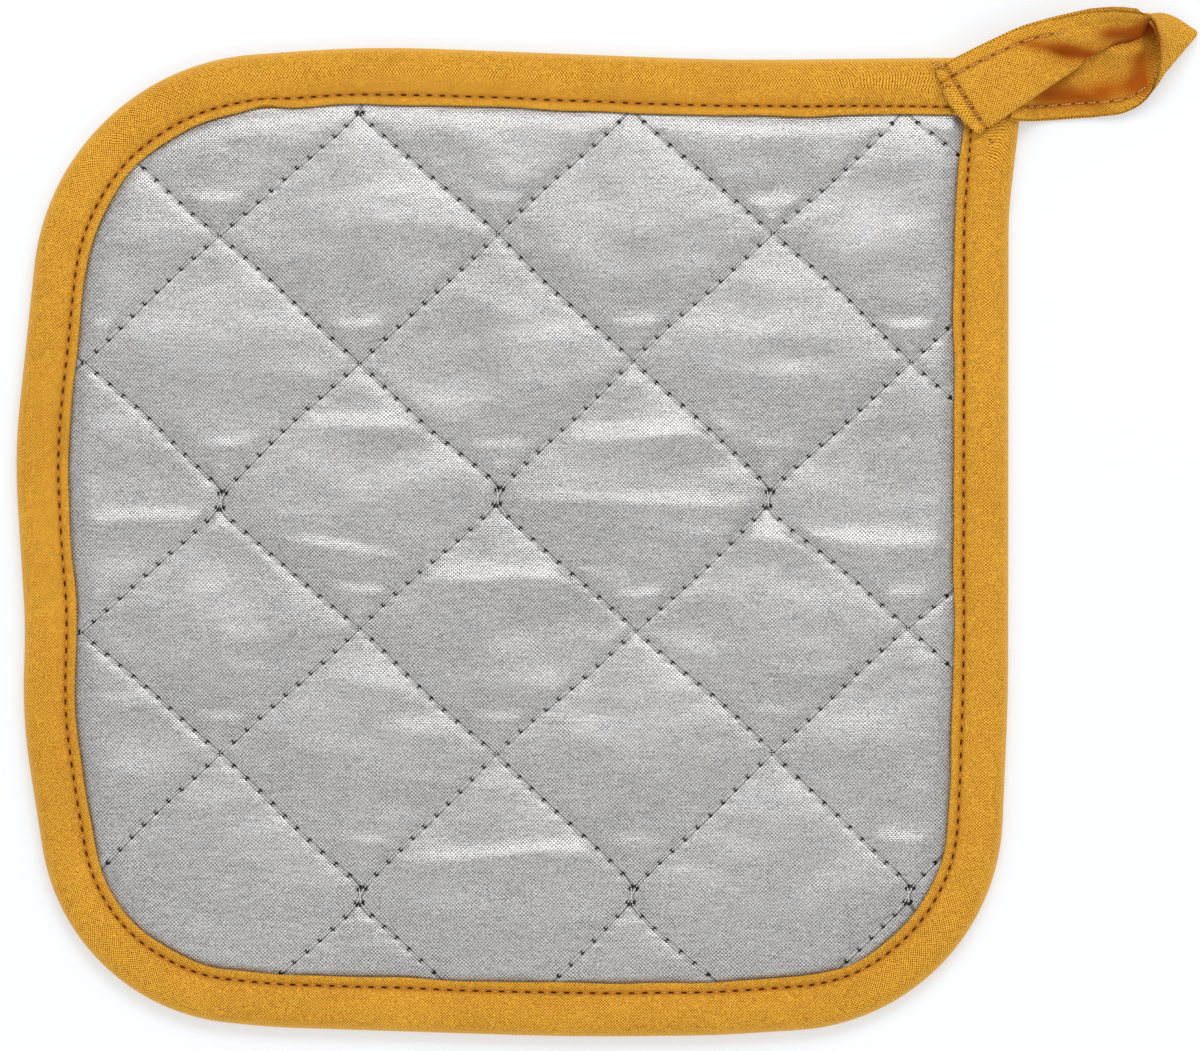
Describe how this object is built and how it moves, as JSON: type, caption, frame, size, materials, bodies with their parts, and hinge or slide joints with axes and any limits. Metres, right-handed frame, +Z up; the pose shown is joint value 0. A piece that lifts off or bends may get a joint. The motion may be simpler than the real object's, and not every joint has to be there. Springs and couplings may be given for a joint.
{
  "type": "pot holder",
  "caption": "Square quilted pot holder with a silvery heat-reflecting face, a folded mustard binding round its edge and a hanging loop at one corner, lying flat.",
  "frame": {"origin": "under the middle of the whole object, on the surface it lies on", "axes": "+Z up out of the silver face, +X across towards the hanging loop, +Y up the face towards the side the loop is sewn on"},
  "size_m": [0.2442, 0.2134, 0.0122],
  "materials": {
    "silver_cloth": "soft metallic sheen over a fine weave",
    "mustard_tape": "matt cotton cut on the bias",
    "mustard_loop_tape": "matt cotton cut on the bias"
  },
  "bodies": {
    "root": {"quilted_pad": "silver_cloth", "edge_binding": "mustard_tape", "hanging_loop": "mustard_loop_tape"}
  },
  "joints": []
}
